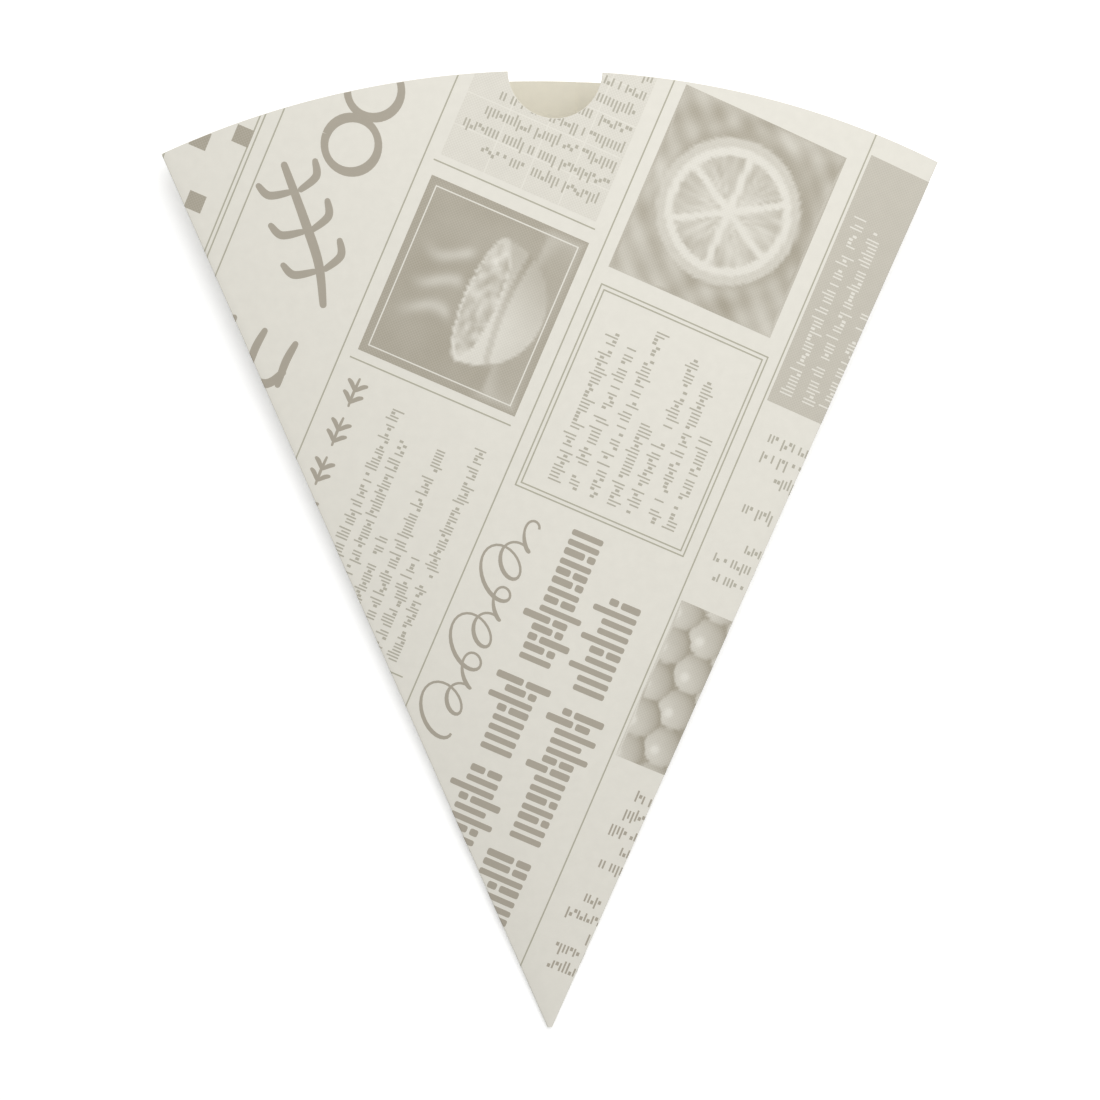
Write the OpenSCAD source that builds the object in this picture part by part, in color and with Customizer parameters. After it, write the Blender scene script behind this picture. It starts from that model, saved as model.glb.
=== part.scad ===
// Paper fry cone: one printed card blank, folded flat, glued down the back and sprung a little open.
// It lies on its back panel with the mouth towards +Y, and the origin is under the middle of its box.
// Each panel is part of a round cone, because a bent sheet that comes to a point can take no other
// simple shape. All slants are measured from the point where the two fold lines meet.

/* [Card] */
// Thickness of the card
card_t = 0.3; // [0.2:0.05:0.6]
// Slant from the meeting point of the folds to the mouth edge
slant = 215; // [160:5:260]
// Flat angle of each panel, from fold to fold
panel_angle = 48; // [38:1:58]
// Radius of the blunt tip, seen from above
tip_r = 0.7; // [0.5:0.1:1.5]
// How far the middle of each panel stands off the plane of the folds, at the mouth
bow = 7.5; // [4:0.5:14]

/* [Thumb cut] */
// Radius of the half-round cut in the front panel's mouth edge
thumb_r = 10.5; // [6:0.5:18]

/* [Seam] */
// Flat angle over which the glued edges overlap, down the middle of the back
lap_angle = 3; // [2:0.5:8]

/* [Print] */
// Tilt of the printed page, from the width of the cone
page_tilt = 67; // [55:1:75]
// Thickness of the film that stands for the ink
ink_t = 0.06; // [0.05:0.01:0.1]
// How far short of each edge the ink stops
ink_margin = 0.4; // [0.2:0.1:1]
// Pitch of the bars that stand for lines of text
line_pitch = 8.4; // [4.2:0.1:10]
// Height of such a bar
line_h = 2.8; // [1:0.1:4]
// Width of the rules and frames
rule_w = 0.6; // [0.4:0.1:1]
// Width of the brush strokes
brush_w = 1.8; // [1.2:0.1:3]

/* [Hidden] */
$fn = 96;

half_angle = panel_angle / 2;
// Elevation of a panel's middle line above the plane of the folds
bow_angle = asin(bow / slant);
// A round cone with this half angle, unrolled to the panel's flat angle, rises this far over its folds
function turn_of(roll) = half_angle / sin(roll);
function rise_of(roll) = roll - atan(tan(roll) * cos(turn_of(roll)));
// The half angle that gives the bow, found by halving the range
function find_roll(low, high, steps) =
    steps == 0 ? (low + high) / 2
    : rise_of((low + high) / 2) > bow_angle
        ? find_roll((low + high) / 2, high, steps - 1)
        : find_roll(low, (low + high) / 2, steps - 1);
roll = find_roll(35, 89.9, 40);
// Half the angle between the two folds, once the card has sprung open
fold_angle = asin(sin(roll) * sin(turn_of(roll)));
// A crease is pressed a little thinner than the card
crease_r = 0.96 * card_t;
// The blunt tip's middle, where its sides nearly fill the corner between the creases
tip_y = (tip_r - 0.9 * crease_r) / sin(fold_angle);
// The panels start inside the tip
panel_slant = tip_y + 0.2;
// The lap is two cards thick, and the cone rests on it
rest_z = 2 * card_t;
// Middle of the cone's length, from the tip to the back panel's mouth edge
mid_y = (slant + tip_y - tip_r) / 2;
// The page is laid out on a grid of square cells, which grows with the blank
cell = slant / 43;
paper_colour = "#dedbd3";
picture_ink = "#b9b4a6";
headline_ink = "#aba598";
text_ink = "#bcb7ab";
rule_ink = "#b4b1a0";

// Turn of a band on the rolled panel for a flat angle on the blank
function turn_for(flat_angle) = flat_angle / sin(roll);

// Puts the plane of the two folds in its place, from one with the folds' meeting point at its origin,
// +Y midway between the folds and +Z to the front
module fold_frame() {
    translate([0, -mid_y, rest_z])
        rotate([bow_angle, 0, 0])
        children();
}

// Puts a rolled cone's own frame, axis up and the panel's middle towards +X, in the plane of the folds
module panel_frame() {
    rotate([bow_angle - roll, 0, 0])
        rotate(a = -120, v = [1, 1, 1])
        children();
}

// The back panel is the front's mirror image in the plane of the folds
module back_side() {
    mirror([0, 0, 1]) children();
}

// A band of the rolled cone: from turn a to turn b, from slant s0 to s1, and from height h0 to h1
// off the card's inner face
module rolled_band(a, b, s0, s1, h0, h1) {
    panel_frame()
        rotate([0, 0, a])
        rotate_extrude(angle = b - a)
        rotate(90 - roll)
        translate([s0, -h1])
        square([s1 - s0, h1 - h0]);
}

// The space over the plane of the folds, out to the outside of both creases
module over_folds() {
    reach = 1.2 * slant;
    linear_extrude(4 * bow)
        translate([0, -crease_r / sin(fold_angle)])
        polygon([[0, 0], [reach * tan(fold_angle), reach], [-reach * tan(fold_angle), reach]]);
}

// One panel, which ends in half of the crease on either side
module panel() {
    intersection() {
        rolled_band(-90, 90, panel_slant, slant, 0, card_t);
        over_folds();
    }
}

// The cut for a thumb, square to the front panel's middle line
module thumb_cut(margin = 0) {
    rotate([bow_angle, 0, 0])
        translate([0, slant, 0])
        cylinder(r = thumb_r + margin, h = 4 * bow, center = true);
}

// The glued edge that lies over the back panel's middle, a little short of its mouth edge
module lap() {
    turn = turn_for(lap_angle) / 2;
    rolled_band(-turn, turn, 4 * panel_slant, slant - card_t, card_t / 2, 2 * card_t);
}

// The blunt tip, where both panels are pressed together
module tip() {
    translate([0, tip_y, -card_t])
        cylinder(r = tip_r, h = 2 * card_t);
}

module card_cone() {
    color(paper_colour) fold_frame() {
        difference() {
            panel();
            thumb_cut();
        }
        back_side() {
            panel();
            lap();
        }
        tip();
    }
}

// A film of ink on the outside of a panel, from turn a to turn b, under the flat shapes that follow
module ink_film(a, b) {
    intersection() {
        rolled_band(a, b, 4 * panel_slant, slant - ink_margin, card_t, card_t + ink_t);
        linear_extrude(4 * bow) children();
    }
}

// The page's own directions, along its lines of text and across them, from the folds' meeting point
module page() {
    rotate(page_tilt) children();
}

// The page where it has gone round the fold on one side, as the back panel carries it
module wrapped_page(side) {
    mirror([cos(fold_angle), -side * sin(fold_angle)])
        page() children();
}

// Flat shapes in the page's directions, printed on the front and on both halves of the back
module printed() {
    edge = turn_of(roll) - turn_for(ink_margin);
    seam_side = turn_for(lap_angle / 2 + ink_margin);
    fold_frame() {
        difference() {
            ink_film(-edge, edge) page() children();
            thumb_cut(ink_margin);
        }
        back_side() {
            ink_film(seam_side, edge) wrapped_page(1) children();
            ink_film(-edge, -seam_side) wrapped_page(-1) children();
        }
    }
}

// Puts a block at a place on the page's grid
module at(u, w) {
    translate(cell * [u, w]) children();
}

// Lines of text as bars with ragged ends, in a block whose size is given in cells
module text_block(width, height) {
    count = floor(height * cell / line_pitch);
    for (i = [1 : count])
        translate([0, height * cell - i * line_pitch])
            square([width * cell * (0.92 + 0.08 * sin(137 * i)), line_h]);
}

// The same with its lines turned across the page
module turned_text_block(width, height) {
    translate([width * cell, 0])
        rotate(90)
        text_block(height, width);
}

// A stroke of the brush between two places in a block
module stroke(from, to) {
    run = cell * (to - from);
    translate(cell * from)
        rotate(atan2(run[1], run[0]))
        translate([0, -brush_w / 2])
        square([norm(run), brush_w]);
}

// A printed dot or disc, as a ten-sided shape because it is only print
module dot(r) {
    circle(r, $fn = 10);
}

// A ring whose middle line has this radius
module ring(r, width) {
    difference() {
        dot(r + width / 2);
        dot(r - width / 2);
    }
}

// A frame whose outer size is given in cells
module frame(width, height) {
    difference() {
        square(cell * [width, height]);
        translate([rule_w, rule_w]) square(cell * [width, height] - 2 * [rule_w, rule_w]);
    }
}

// A picture's dark field, with what it shows left pale
module picture(width, height) {
    difference() {
        square(cell * [width, height]);
        children();
    }
}

// A bowl of soup under three wisps of steam
module bowl_picture() {
    picture(8.4, 7.6) {
        at(4.2, 3.6) intersection() {
            dot(2.9 * cell);
            translate(cell * [-3, -3]) square(cell * [6, 2.8]);
        }
        for (x = [2.8, 4.2, 5.6]) at(x, 5.4) square(cell * [0.5, 2.2], center = true);
    }
}

// Round peas in rows
module pea_picture() {
    picture(7.6, 6.8)
        for (x = [2.2, 5.4], y = [1.3, 3.4, 5.5]) at(x, y) dot(0.85 * cell);
}

// A slice of lemon, cut into segments
module lemon_picture() {
    picture(8.8, 8)
        at(4.4, 4) difference() {
            dot(3.2 * cell);
            for (a = [0 : 60 : 120]) rotate(a) square(cell * [5, 0.3], center = true);
        }
}

// A fish
module fish_picture() {
    picture(8.8, 6.4) {
        at(3.8, 3.2) intersection() {
            translate(cell * [0, -2.6]) dot(4 * cell);
            translate(cell * [0, 2.6]) dot(4 * cell);
        }
        at(6.4, 3.2) polygon(cell * [[0, 0], [1.6, 1.5], [1.6, -1.5]]);
    }
}

// A band of tint with its text left pale
module tinted_band() {
    picture(12, 5.4)
        at(0.6, 0.3) text_block(10, 4.8);
}

module picture_print() {
    color(picture_ink) printed() {
        at(24.8, 12.4) bowl_picture();
        at(32.6, 3.2) lemon_picture();
        at(12.6, -4.6) pea_picture();
        at(12.6, 32.4) fish_picture();
        at(28, -15.6) bowl_picture();
        at(30, -3.2) tinted_band();
        for (i = [0 : 8], j = [0 : 3])
            if ((3 * i + 5 * j) % 9 == 0) at(24.9 + 0.88 * i, 28 + 0.86 * j) square(0.8 * cell);
    }
}

// A fork, a sprig and a wave, drawn with a brush where a title would stand
module brush_drawings() {
    at(18.6, 21.8) {
        stroke([0, 2.4], [2.9, 2.4]);
        stroke([3.2, 0.9], [3.2, 3.9]);
        for (y = [1, 2.4, 3.8]) stroke([3.6, y], [5.2, y]);
    }
    at(26, 21.8) {
        stroke([0, 0.4], [2.6, 2.2]);
        stroke([2.9, 2.5], [5, 4.4]);
        for (x = [1.2, 4]) stroke([x, x * 0.85 + 0.5], [x - 0.5, x * 0.85 + 1.5]);
        for (x = [1.2, 2.6]) stroke([x + 0.5, x * 0.85 - 0.6], [x + 1.7, x * 0.85 - 0.4]);
    }
    for (x = [33, 35.6]) at(x, 23.8) ring(1.2 * cell, brush_w);
}

// A thin running line where handwriting would stand, as a zigzag
module flourish(length, height) {
    for (x = [0 : 2 : length - 2]) {
        at(x, 0) rotate(60) square([height * cell / sin(60), rule_w]);
        at(x + 1.2, 0) rotate(115) square([height * cell * 0.5, rule_w]);
    }
}

// A line of bold blocks where a headline would stand, from each word's start and count of blocks
module headline(words) {
    for (word = words, j = [0 : word[1] - 1])
        at(word[0] + 1.84 * j, 0) square(cell * [1.6, 1.8]);
}

module headline_print() {
    color(headline_ink) printed() {
        brush_drawings();
        at(4.4, 6.5) headline([[0, 3], [6.2, 2], [10.6, 3]]);
        at(3, 3.7) headline([[0, 2], [4.4, 4], [12.2, 2]]);
        at(10, -14.4) headline([[0, 2], [5.4, 1], [9, 2]]);
        at(10.6, 9.6) flourish(10, 1.5);
        for (x = [12.8 : 2.6 : 23]) at(x, 19) square(cell * [1.6, 0.8]);
    }
}

module text_print() {
    color(text_ink) printed() {
        at(4.6, 12.7) text_block(7, 7.3);
        at(12.6, 12.7) text_block(11.2, 5.6);
        at(34.4, 12.7) turned_text_block(7, 7.3);
        at(22.9, 3.5) text_block(8.2, 7.6);
        at(1.6, -4.8) turned_text_block(10, 6.4);
        at(20.9, -4.8) turned_text_block(8, 6.8);
        at(12, 27.9) text_block(11.8, 3.6);
        at(22.2, 32.4) text_block(7, 6.8);
        at(14, -11) text_block(13, 5);
        at(28, -7.9) text_block(12, 2);
    }
}

module rule_print() {
    color(rule_ink) printed() {
        for (w = [-5.6, 2.3, 11.7, 20.6, 27.1]) at(2, w) square([41 * cell, rule_w]);
        for (u = [24.3, 33.8]) at(u, 12.4) square([rule_w, 7.8 * cell]);
        at(22, 2.9) frame(9.8, 8.3);
    }
}

card_cone();
picture_print();
headline_print();
text_print();
rule_print();
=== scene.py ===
# %% [markdown]
# # A printed card cone for fries
#
# The real cone is one sheet of card. It is printed flat, cut out flat, creased twice, folded over
# and glued down the back, and it lies on a table a little sprung open.
# This script makes it in the same order: a flat blank, flat print on it, and one tree of nodes
# that folds both. Whatever is drawn on the flat page then bends with the card by itself.

import math
import random

import bpy
from mathutils import Matrix, Vector, geometry, noise


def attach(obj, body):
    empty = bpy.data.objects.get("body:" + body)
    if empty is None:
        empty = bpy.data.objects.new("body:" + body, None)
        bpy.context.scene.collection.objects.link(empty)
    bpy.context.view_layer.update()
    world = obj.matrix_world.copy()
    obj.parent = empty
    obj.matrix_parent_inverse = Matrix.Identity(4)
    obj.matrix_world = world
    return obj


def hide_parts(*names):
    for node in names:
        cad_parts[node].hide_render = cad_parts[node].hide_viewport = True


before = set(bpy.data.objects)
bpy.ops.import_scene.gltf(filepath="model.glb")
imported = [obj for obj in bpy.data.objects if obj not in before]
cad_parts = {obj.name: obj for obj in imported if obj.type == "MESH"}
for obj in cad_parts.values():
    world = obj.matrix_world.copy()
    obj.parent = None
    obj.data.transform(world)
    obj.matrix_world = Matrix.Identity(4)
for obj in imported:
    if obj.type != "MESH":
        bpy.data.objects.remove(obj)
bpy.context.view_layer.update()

# %% [markdown]
# ## Sizes
# A flat-packed cone has few sizes: the slant from the tip to the mouth, the flat angle of each
# panel, the card's thickness, and how far the panels have sprung apart. They are written in
# millimetres, as a maker would, and turned to metres only where a mesh is made. The print stands
# on a grid of square cells, 43 of them from the tip to the mouth.

# %% Sizes of the blank
MM = 0.001
SLANT = 215.0
HALF_PANEL = math.radians(24)
CARD = 0.3
BOW = 7.5
THUMB_R = 10.5
HALF_LAP = math.radians(1.5)
TIP_R = 0.7
TIP_TRIM = 0.08
CREASE_R = 0.96 * CARD
PAGE_TILT = math.radians(67)
PAGE_CELLS = 43
CELL = SLANT / PAGE_CELLS

bow_angle = math.asin(BOW / SLANT)


def rise_over_folds(roll):
    """How far a rolled panel's middle stands over the plane of its folds, as an angle."""
    return roll - math.atan(math.tan(roll) * math.cos(HALF_PANEL / math.sin(roll)))


low, high = math.radians(35), math.radians(89.9)
for _ in range(50):
    roll = (low + high) / 2
    low, high = (roll, high) if rise_over_folds(roll) > bow_angle else (low, roll)
fold_angle = math.asin(math.sin(roll) * math.sin(HALF_PANEL / math.sin(roll)))
print("a panel is part of a cone of half angle", round(math.degrees(roll), 2), "degrees")

# %% [markdown]
# ## The crease
# At a fold the card's outer face runs round a tight half turn. The blank needs that much more
# width between its panels, or the print would jump there. The turn isn't a full 180 degrees,
# because the sprung panels meet at a small angle.

# %% Width and turn of a crease
across = Matrix.Rotation(bow_angle - roll, 3, "X") @ Matrix.Rotation(HALF_PANEL / math.sin(roll), 3, "Y")
normal_at_fold = across @ Matrix.Rotation(roll, 3, "X") @ Vector((0, 0, 1))
crease_start = math.acos(normal_at_fold.z)
crease_w = (math.pi - 2 * crease_start) * CARD
tip_y = (TIP_R - 0.9 * CREASE_R) / math.sin(fold_angle)
middle_y = (SLANT + tip_y - TIP_R) / 2
REST_Z = 2 * CARD
print("each crease takes", round(crease_w, 2), "mm of the blank")

# %% [markdown]
# ## One helper for every node
# All the node trees below are built by this function. It adds a node, sets its options, and fills
# its inputs in order or by name, each with a plain value or with a link from another node.

# %% Add a node


def node(tree, kind, *inputs, named=(), **settings):
    """Adds a node. An input is a value, a socket, a node for its first output, or None to skip it."""
    made = tree.nodes.new(kind)
    for key, value in settings.items():
        setattr(made, key, value)
    for key, value in list(enumerate(inputs)) + list(dict(named).items()):
        socket = made.inputs[key]
        if isinstance(value, bpy.types.Node):
            value = value.outputs[0]
        if isinstance(value, bpy.types.NodeSocket):
            tree.links.new(value, socket)
        elif value is not None:
            socket.default_value = value
    return made


def new_tree(name, inputs):
    """An empty Geometry Nodes tree with named number inputs. Gives the tree and its input node."""
    tree = bpy.data.node_groups.new(name, "GeometryNodeTree")
    tree.interface.new_socket("Geometry", in_out="INPUT", socket_type="NodeSocketGeometry")
    for label in inputs:
        tree.interface.new_socket(label, in_out="INPUT", socket_type="NodeSocketFloat")
    tree.interface.new_socket("Material", in_out="INPUT", socket_type="NodeSocketMaterial")
    tree.interface.new_socket("Geometry", in_out="OUTPUT", socket_type="NodeSocketGeometry")
    return tree, tree.nodes.new("NodeGroupInput")


def run_tree(tree, mesh, name, **values):
    """Runs a tree on a mesh and gives the result as a plain mesh."""
    carrier = bpy.data.objects.new(name, mesh)
    bpy.context.scene.collection.objects.link(carrier)
    modifier = carrier.modifiers.new("tree", "NODES")
    modifier.node_group = tree
    for item in tree.interface.items_tree:
        key = item.name.replace(" ", "_").lower()
        if item.in_out == "INPUT" and key in values:
            modifier[item.identifier] = values[key]
    evaluated = carrier.evaluated_get(bpy.context.evaluated_depsgraph_get())
    result = bpy.data.meshes.new_from_object(evaluated)
    bpy.data.objects.remove(carrier)
    result.name = name
    return result


# %% [markdown]
# ## Folding as a tree of nodes
# Card bends, but it doesn't stretch, and a bent sheet that ends in a point is part of a cone. Rolling
# a flat panel onto a cone is three turns of the point (0, slant, height): up by the cone's half
# angle, round its axis, and back down. A crease is two turns, round the fold line and then out
# to that line. The tree works out for every point of the flat blank where it lies: on the
# front, in a crease, or past it on the back, which is the front's mirror image.

# %% Fold the blank
FOLD_SIZES = {
    "half_panel": HALF_PANEL,
    "cone_half_angle": roll,
    "bow_angle": bow_angle,
    "fold_angle": fold_angle,
    "crease_start": crease_start,
    "crease_width": crease_w * MM,
    "middle": middle_y * MM,
    "rest_height": REST_Z * MM,
}
fold_tree, given = new_tree("fold the blank", ["Half panel", "Cone half angle", "Bow angle", "Fold angle",
                                               "Crease start", "Crease width", "Middle", "Rest height"])
size = given.outputs
MATH, TURN, VECTOR = "ShaderNodeMath", "ShaderNodeVectorRotate", "ShaderNodeVectorMath"
place = node(fold_tree, "ShaderNodeSeparateXYZ", node(fold_tree, "GeometryNodeInputPosition"))
side = node(fold_tree, MATH, place.outputs[0], operation="SIGN")
outward = node(fold_tree, MATH, place.outputs[0], operation="ABSOLUTE")
flat = node(fold_tree, "ShaderNodeCombineXYZ", outward, place.outputs[1], 0)
by_fold = node(fold_tree, TURN, flat, named={"Angle": size["Half panel"]}, rotation_type="Z_AXIS")
by_fold = node(fold_tree, "ShaderNodeSeparateXYZ", by_fold)
past, along = by_fold.outputs[0], by_fold.outputs[1]

# %% Distance from the fold line, on either side of the crease
before = node(fold_tree, MATH, past, -1, operation="MULTIPLY")
beyond = node(fold_tree, MATH, past, size["Crease width"], operation="SUBTRACT")
off_fold = node(fold_tree, MATH, node(fold_tree, MATH, before, beyond, operation="MAXIMUM"), 0,
                operation="MAXIMUM")
run = node(fold_tree, "ShaderNodeCombineXYZ", along, off_fold, 0)
slant_here = node(fold_tree, VECTOR, run, operation="LENGTH")
off_angle = node(fold_tree, MATH, off_fold, along, operation="ARCTAN2")
from_middle = node(fold_tree, MATH, size["Half panel"], off_angle, operation="SUBTRACT")
turn = node(fold_tree, MATH, from_middle, node(fold_tree, MATH, size["Cone half angle"], operation="SINE"),
            operation="DIVIDE")
turn = node(fold_tree, MATH, turn, side, operation="MULTIPLY")

# %% The panel's three turns, and the mirror image for the back
panel = node(fold_tree, "ShaderNodeCombineXYZ", 0, slant_here.outputs[1], place.outputs[2])
panel = node(fold_tree, TURN, panel, named={"Angle": size["Cone half angle"]}, rotation_type="X_AXIS")
panel = node(fold_tree, TURN, panel, named={"Angle": turn}, rotation_type="Y_AXIS")
lean = node(fold_tree, MATH, size["Bow angle"], size["Cone half angle"], operation="SUBTRACT")
panel = node(fold_tree, TURN, panel, named={"Angle": lean}, rotation_type="X_AXIS")
on_back = node(fold_tree, MATH, beyond, 0, operation="GREATER_THAN")
flip = node(fold_tree, MATH, node(fold_tree, MATH, on_back, -2, operation="MULTIPLY"), 1, operation="ADD")
panel = node(fold_tree, VECTOR, panel, node(fold_tree, "ShaderNodeCombineXYZ", 1, 1, flip),
             operation="MULTIPLY")

# %% The crease's two turns
crease_end = node(fold_tree, MATH, math.pi, size["Crease start"], operation="SUBTRACT")
round_fold = node(fold_tree, "ShaderNodeMapRange", past, 0, size["Crease width"], size["Crease start"],
                  crease_end)
round_fold = node(fold_tree, MATH, round_fold, side, operation="MULTIPLY")
crease = node(fold_tree, "ShaderNodeCombineXYZ", 0, along, place.outputs[2])
crease = node(fold_tree, TURN, crease, named={"Angle": round_fold}, rotation_type="Y_AXIS")
swing = node(fold_tree, MATH, node(fold_tree, MATH, side, -1, operation="MULTIPLY"), size["Fold angle"],
             operation="MULTIPLY")
crease = node(fold_tree, TURN, crease, named={"Angle": swing}, rotation_type="Z_AXIS")

# %% Choose between them, then lay the cone on its back panel
in_crease = node(fold_tree, MATH, off_fold, 1e-9, operation="LESS_THAN")
folded = node(fold_tree, "GeometryNodeSwitch", in_crease, panel, crease, input_type="VECTOR")
folded = node(fold_tree, TURN, folded, named={"Angle": size["Bow angle"]}, rotation_type="X_AXIS")
back_by = node(fold_tree, MATH, size["Middle"], -1, operation="MULTIPLY")
folded = node(fold_tree, VECTOR, folded, node(fold_tree, "ShaderNodeCombineXYZ", 0, back_by,
                                              size["Rest height"]), operation="ADD")
moved = node(fold_tree, "GeometryNodeSetPosition", size["Geometry"], named={"Position": folded})
finished = node(fold_tree, "GeometryNodeSetMaterial", node(fold_tree, "GeometryNodeRealizeInstances", moved),
                named={"Material": size["Material"]})
node(fold_tree, "NodeGroupOutput", finished)
print("the folding tree has", len(fold_tree.nodes), "nodes")

# %% [markdown]
# ## The blank
# The blank is described by its columns. A column is a straight line on the card from the tip to the
# mouth, and it stays straight when the card is folded, so it needs no point in between for its
# shape. The columns go once across the sheet: from the glued edge over the left half of the back,
# round the left crease, over the front with its thumb cut, and so on to the other glued edge.
# They stand closest in the creases and where the outer flap climbs over the lap.

# %% Columns of the blank
FRONT_STEPS = 96
BACK_STEPS = 40
CREASE_STEPS = 6
CUT_STEPS = 24
LAP_RAMP = math.radians(0.8)
LAP_STEPS = 6
LAP_LINES = [HALF_LAP + LAP_RAMP * i / LAP_STEPS for i in range(LAP_STEPS + 1)]


def polar(distance, angle):
    return Vector((distance * math.sin(angle), distance * math.cos(angle)))


def by_crease(past_fold, along_fold):
    """A flat place from its distance past the right fold and its distance along it."""
    c, s = math.cos(HALF_PANEL), math.sin(HALF_PANEL)
    return Vector((past_fold * c + along_fold * s, along_fold * c - past_fold * s))


def on_back_half(distance, angle):
    """A flat place on the right half of the back, from its slant and its angle off the seam."""
    inward = HALF_PANEL - angle
    return by_crease(crease_w + distance * math.sin(inward), distance * math.cos(inward))


def mirrored(column):
    return tuple(Vector((-p.x, p.y)) for p in column)


def tip_slant(angle):
    """Where a column starts, on the round end of the tip."""
    r = TIP_R - TIP_TRIM
    return tip_y * math.cos(angle) - math.sqrt(r * r - (tip_y * math.sin(angle)) ** 2)


# %% Columns across the sheet


def back_half(inset, edge):
    """Columns of the right half of the back, from the fold to a glued edge."""
    angles = [HALF_PANEL + (edge - HALF_PANEL) * i / BACK_STEPS for i in range(BACK_STEPS + 1)]
    angles = sorted(angles + [a for a in LAP_LINES if a > edge], reverse=True)
    return [(on_back_half(tip_slant(a), a), on_back_half(SLANT - inset, a)) for a in angles]


def blank_columns(inset, left_edge, right_edge):
    """Start and end of each column, from left to right, this far inside the cut edges."""
    top = SLANT - inset
    start_fold = tip_slant(HALF_PANEL)
    cut_r = THUMB_R + inset
    cut_angle = math.asin(cut_r / SLANT)
    back_right = back_half(inset, right_edge)
    back_left = [mirrored(c) for c in reversed(back_half(inset, left_edge))]
    crease_right = []
    for i in range(CREASE_STEPS + 1):
        q = crease_w * i / CREASE_STEPS
        crease_right.append((by_crease(q, start_fold), by_crease(q, top)))
    crease_left = [mirrored(c) for c in reversed(crease_right)]
    angles = [HALF_PANEL * (2 * i / FRONT_STEPS - 1) for i in range(1, FRONT_STEPS)]
    front = {a: top for a in angles if abs(a) > cut_angle}
    for i in range(1, CUT_STEPS):
        a = math.asin(cut_r / SLANT * math.sin(math.pi * (i / CUT_STEPS - 0.5)))
        front[a] = SLANT * math.cos(a) - math.sqrt(cut_r ** 2 - (SLANT * math.sin(a)) ** 2)
    front[-cut_angle] = front[cut_angle] = top
    middle = [(polar(tip_slant(a), a), polar(front[a], a)) for a in sorted(front)]
    return back_left[:-1] + crease_left + middle + crease_right + back_right[1:]


card_columns = blank_columns(0, -HALF_LAP, -HALF_LAP)
print("the blank has", len(card_columns), "columns")

# %% [markdown]
# ## The lap
# The glued edges lie over each other down the middle of the back. The right one lies outside, so it
# climbs by the card's thickness over most of a degree before it passes the other edge. Height is
# the third coordinate of the flat blank, so the climb is a function of the flat place.

# %% Height of the outer flap


def lift(p):
    """How far the blank's inner face lies off the panel here, in millimetres."""
    q = p.x * math.cos(HALF_PANEL) - p.y * math.sin(HALF_PANEL) - crease_w
    if q <= 0:
        return 0.0
    along_fold = p.x * math.sin(HALF_PANEL) + p.y * math.cos(HALF_PANEL)
    angle = HALF_PANEL - math.atan2(q, along_fold)
    t = min(max((HALF_LAP + LAP_RAMP - angle) / LAP_RAMP, 0), 1)
    return CARD * t * t * (3 - 2 * t)


print("beside the seam the outer flap is", lift(on_back_half(SLANT, 0)), "mm up")

# %% [markdown]
# ## The flat card
# The sheet is a closed slab: an outer face, an inner face one card below it, and the cut edges
# between them. It has enough rows to follow the climb of the lap near the tip.

# %% Make the card
ROWS = 40


def flat_card():
    verts, faces = [], []
    for level in (CARD, 0.0):
        for start, end in card_columns:
            for i in range(ROWS + 1):
                p = start.lerp(end, i / ROWS)
                verts.append((p.x * MM, p.y * MM, (lift(p) + level) * MM))
    n, step = len(card_columns), ROWS + 1
    lower = n * step
    for c in range(n - 1):
        for i in range(ROWS):
            a = c * step + i
            faces.append((a, a + step, a + step + 1, a + 1))
            faces.append((lower + a, lower + a + 1, lower + a + step + 1, lower + a + step))
    rim = [c * step for c in range(n)] + [(n - 1) * step + i for i in range(1, step)]
    rim += [c * step + ROWS for c in range(n - 2, -1, -1)] + list(range(ROWS - 1, 0, -1))
    for a, b in zip(rim, rim[1:] + rim[:1]):
        faces.append((b, a, lower + a, lower + b))
    mesh = bpy.data.meshes.new("flat card")
    mesh.from_pydata(verts, [], faces)
    mesh.update()
    return mesh


def finish_piece(mesh, name, nodes_replaced):
    """Puts a folded mesh in the scene as a piece that stands for a node of the frame."""
    piece = bpy.data.objects.new(name, mesh)
    bpy.context.scene.collection.objects.link(piece)
    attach(piece, "root")
    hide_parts(nodes_replaced)
    print(name, "has", sum(len(p.vertices) - 2 for p in mesh.polygons), "triangles")


# %% [markdown]
# ## The printed page
# The print is laid out on a flat page, tilted as on the real cone, on the same grid of cells as the
# CAD model's films of ink. Each printed thing is a list of flat polygons in millimetres along and
# across the lines of text. The page starts at the tip.

# %% From the page to the blank


def on_blank(polygons):
    """Turns polygons from the page's directions to the blank's."""
    c, s = math.cos(PAGE_TILT), math.sin(PAGE_TILT)
    return [[(u * c - w * s, u * s + w * c) for u, w in polygon] for polygon in polygons]


def on_page(p):
    """Turns a place on the blank back to the page's directions."""
    c, s = math.cos(PAGE_TILT), math.sin(PAGE_TILT)
    return p.x * c + p.y * s, p.y * c - p.x * s


def moved_to(polygons, u, w):
    """Puts polygons at a place on the page's grid of cells."""
    return [[(x + u * CELL, y + w * CELL) for x, y in polygon] for polygon in polygons]


def box(x, y, width, height):
    return [(x, y), (x + width, y), (x + width, y + height), (x, y + height)]


def rounded(x, y, width, height, r=0.45):
    """A box with round corners, which goes round from its far one."""
    outline = []
    corners = ((x + width - r, y + height - r), (x + r, y + height - r), (x + r, y + r),
               (x + width - r, y + r))
    for k, (cx, cy) in enumerate(corners):
        for i in range(4):
            a = math.pi / 2 * (k + i / 3)
            outline.append((cx + r * math.cos(a), cy + r * math.sin(a)))
    return outline


def disc(x, y, r, sides=28):
    return [(x + r * math.cos(2 * math.pi * i / sides), y + r * math.sin(2 * math.pi * i / sides))
            for i in range(sides)]


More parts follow.
